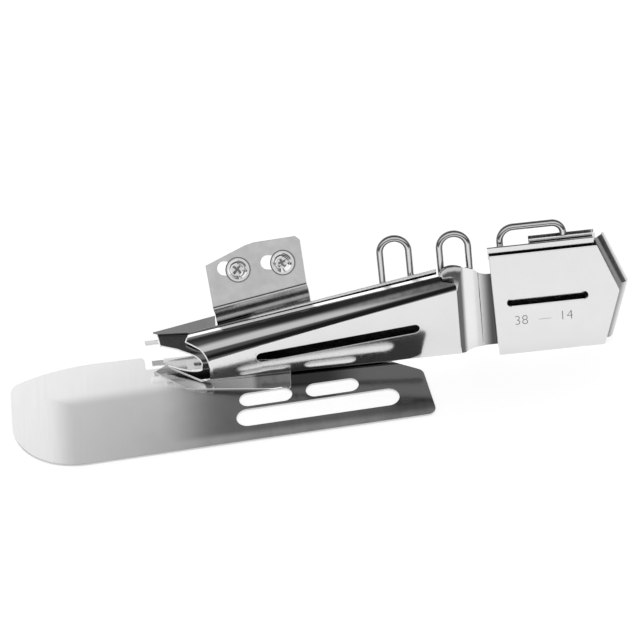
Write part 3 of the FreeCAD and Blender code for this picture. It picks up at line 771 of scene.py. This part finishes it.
def screw_head(number):
    """A domed screw head with a cross recess, and the dark line round its washer, both in painted shade."""
    middle, radius, bend, up, out = head_frame("tab_screw_%d" % number)
    washer, washer_radius, bend, up, out = head_frame("tab_washer_%d" % number)
    depth = 0.9 * MM

    def dome(shape):
        profile = []
        for turn in (2, 12, 24, 38, 52, 66, 78, 90):
            height = depth * math.cos(math.radians(turn)) - depth + 0.05 * MM
            profile.append((radius * math.sin(math.radians(turn)), height))
        sheet_grid(shape, ring_rows(middle, bend, up, out, profile))
        bmesh.ops.remove_doubles(shape, verts=shape.verts, dist=0.02 * MM)
        bmesh.ops.recalc_face_normals(shape, faces=shape.faces)

    def recess(shape):
        for arm in range(4):
            turn = math.radians(HEAD_TURNS[number - 1] + 90.0 * arm)
            along_arm = bend * math.cos(turn) + up * math.sin(turn)
            side = up * math.cos(turn) - bend * math.sin(turn)
            rows = []
            for k in range(6):
                far = radius * (0.02 + 0.13 * k)
                sink = depth * (1.0 - math.sqrt(max(0.0, 1.0 - (far / radius) ** 2)))
                place = middle + along_arm * far + out * (0.09 * MM - sink)
                rows.append([place - side * radius * 0.14, place + side * radius * 0.14])
            sheet_grid(shape, rows)
        round_head = [(radius * 0.86, -0.35 * MM), (radius * 0.86 * 1.07, -0.42 * MM)]
        sheet_grid(shape, ring_rows(middle, bend, up, out, round_head))
        near = washer_radius * 0.90
        lift = 0.03 * MM
        sheet_grid(shape, ring_rows(washer, bend, up, out, [(near, lift), (washer_radius, lift)]))

    new_piece("screw_dome_%d" % number, dome, screw_steel, material_slot="fasteners")
    new_piece("screw_recess_%d" % number, recess, painted_shade_groove_steel, material_slot="fasteners")


def guide_rim(shape):
    """The top of the guide's back plate, bent forward over the gap between the two plates."""
    left, right, low, high = GUIDE_RIM
    near, far = GUIDE_RIM_DEPTH
    corners = []
    for s in (left, right):
        for w, n in ((low, near), (high, near), (high + 0.2, far), (low, far)):
            corners.append(shape.verts.new(guide_point(s, w, n)))
    shape.faces.new(corners[:4])
    shape.faces.new(corners[:3:-1])
    for k in range(4):
        shape.faces.new((corners[k], corners[4 + k], corners[4 + (k + 1) % 4], corners[(k + 1) % 4]))
    bmesh.ops.recalc_face_normals(shape, faces=shape.faces)


def stamp(words, s, w, height):
    """Plain numbers pressed into the guide's front plate, drawn as flat dark marks: painted shade for the
    pressed grooves.
    """
    letters = bpy.data.curves.new("stamp_" + words, "FONT")
    letters.body = words
    letters.size = height
    letters.align_x = "CENTER"
    letters.offset = -0.018 * height
    text = bpy.data.objects.new("stamp_text", letters)
    bpy.context.scene.collection.objects.link(text)
    depsgraph = bpy.context.evaluated_depsgraph_get()
    flat = bpy.data.meshes.new_from_object(text.evaluated_get(depsgraph))
    bpy.data.objects.remove(text)

    def press(shape):
        shape.from_mesh(flat)
        for vert in shape.verts:
            vert.co = guide_point(s + vert.co.x, w + vert.co.y, -0.02)

    return new_piece("stamp_%d" % round(s), press, stamp_steel)


def lay_floor():
    """A wide sheet of paper for the object to stand on."""
    shape = bmesh.new()
    bmesh.ops.create_grid(shape, x_segments=1, y_segments=1, size=3.0)
    mesh = bpy.data.meshes.new("floor")
    shape.to_mesh(mesh)
    shape.free()
    floor = bpy.data.objects.new("floor", mesh)
    bpy.context.scene.collection.objects.link(floor)
    mesh.materials.append(floor_paper())


plate_steel = steel("plate_steel", 0.97, 0.13, 0.05, painted_light=plate_painted_light)
plate_rim = steel("plate_rim", 0.66, 0.25, 0.0)
sheet_steel = steel("sheet_steel", 0.77, 0.10, 0.03)
# Painted shade: a dark copy of the steel for the scroll's inside and the liner's outside
painted_shade_steel = steel("painted_shade_steel", 0.22, 0.20, 0.03)
# Painted highlight and glow: a bright copy of the steel with a faint emission, for cut edges
painted_glow_rim_steel = steel("painted_glow_rim_steel", 0.95, 0.30, 0.0, glow=0.35)
neck_steel = steel("neck_steel", 0.84, 0.12, 0.03, painted_light=neck_painted_reflection)
wire_steel = steel("wire_steel", 0.85, 0.13, 0.0, painted_light=wire_painted_reflection)
screw_steel = steel("screw_steel", 0.95, 0.10, 0.0)
foot_steel = steel("foot_steel", 0.90, 0.14, 0.03, painted_light=foot_painted_shade_and_patches)
wall_steel = steel("wall_steel", 0.84, 0.12, 0.03, painted_light=wall_painted_shade)
# Painted shade: a dark copy of the steel for screw recesses, fastener edges and the line round the washers
painted_shade_groove_steel = steel("painted_shade_groove_steel", 0.25, 0.20, 0.0)
tab_steel = steel("tab_steel", 0.86, 0.14, 0.05, painted_light=tab_painted_reflection_and_spots)
lip_steel = steel("lip_steel", 0.88, 0.14, 0.02, painted_light=lip_painted_light)
# Painted shade: dark steel for the pressed numbers
stamp_steel = steel("stamp_steel", 0.30, 0.35, 0.0)
scroll_steel = steel("scroll_steel", 0.77, 0.10, 0.03, painted_light=scroll_painted_reflection)
hood_steel = steel("hood_steel", 0.80, 0.16, 0.03)

finished("base_plate", plate_steel, plate_rim, material_slot="plate", change=upright_rims)
finished("scroll_foot", foot_steel, painted_glow_rim_steel)
finished("lower_blade", foot_steel, painted_glow_rim_steel)
finished("upper_blade", sheet_steel, painted_glow_rim_steel)
for node in ("rear_blade", "scroll_wall"):
    finished(node, wall_steel)
mouth_edges(painted_glow_rim_steel)
bent_sheet("outer_scroll", outer_scroll, SCROLL_SHEET, scroll_steel, painted_shade_steel, painted_glow_rim_steel)
bent_sheet("scroll_liner", scroll_liner, LINER_SHEET, painted_shade_steel, sheet_steel, painted_glow_rim_steel)
finished("neck_sheet", neck_steel, painted_glow_rim_steel)
new_piece("neck_hood", neck_hood, hood_steel)
front_top = guide_point(0.0, GUIDE_FRONT_TOP, 0.0)
guide_up = (guide_point(0.0, 1.0, 0.0) - guide_point(0.0, 0.0, 0.0)).normalized()
finished("guide_front", sheet_steel, painted_glow_rim_steel, keep=(front_top, guide_up))
finished("guide_back", lip_steel, painted_glow_rim_steel)
new_piece("guide_back_rim", guide_rim, sheet_steel)
finished("top_channel", sheet_steel, painted_glow_rim_steel)
stamp("38", 22.3, 10.6, 5.2)
stamp("\u2014", 30.7, 10.8, 4.6)
stamp("14", 38.4, 10.8, 5.2)
finished("mounting_tab", tab_steel)
for node in ("wire_loop_left", "wire_loop_middle", "wire_loop_large"):
    finished(node, wire_steel, material_slot="wire", change=swell_wire)
for number in (1, 2):
    for kind in ("screw", "washer", "nut"):
        node = "tab_%s_%d" % (kind, number)
        finished(node, screw_steel, painted_shade_groove_steel, SCREW_EASE, material_slot="fasteners")

for number in (1, 2):
    screw_head(number)

lay_floor()
studio_world()
photograph_camera()
bpy.context.scene.view_settings.view_transform = "Standard"
